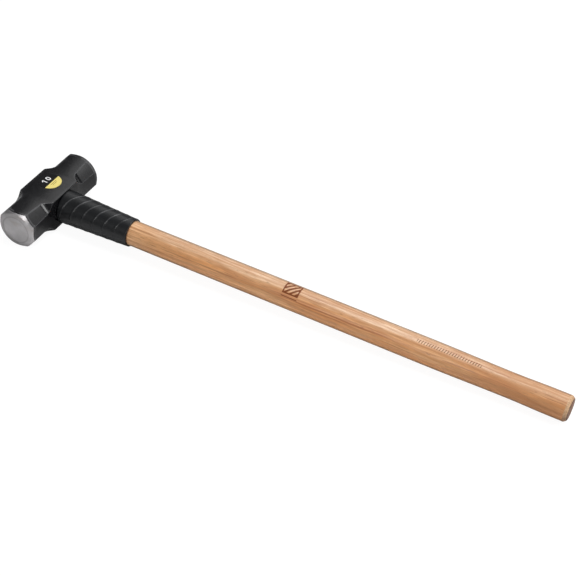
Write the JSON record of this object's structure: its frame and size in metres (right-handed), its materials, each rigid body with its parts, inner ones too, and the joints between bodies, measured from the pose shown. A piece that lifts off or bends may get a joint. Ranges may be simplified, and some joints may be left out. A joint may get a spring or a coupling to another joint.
{
  "type": "sledgehammer",
  "caption": "Long-handled sledgehammer: steel head with round striking faces on faceted polls, wedged straight wooden handle, black ridged overstrike guard.",
  "frame": {"origin": "centre of the head's flat top face, where the wedged end of the handle shows", "axes": "+X down the handle to the butt, +Y along the head from one striking face to the other, +Z out of the labelled cheek"},
  "size_m": [0.914, 0.18, 0.063],
  "materials": {
    "head_steel": "satin",
    "hickory": "satin",
    "wedge_wood": "matte",
    "wedge_steel": "matte",
    "guard_rubber": "matte",
    "label_paper": "satin"
  },
  "bodies": {
    "root": {"head": "head_steel", "handle": "hickory", "wood_wedge": "wedge_wood", "steel_wedges": "wedge_steel", "overstrike_guard": "guard_rubber", "head_label": "label_paper"}
  },
  "joints": []
}
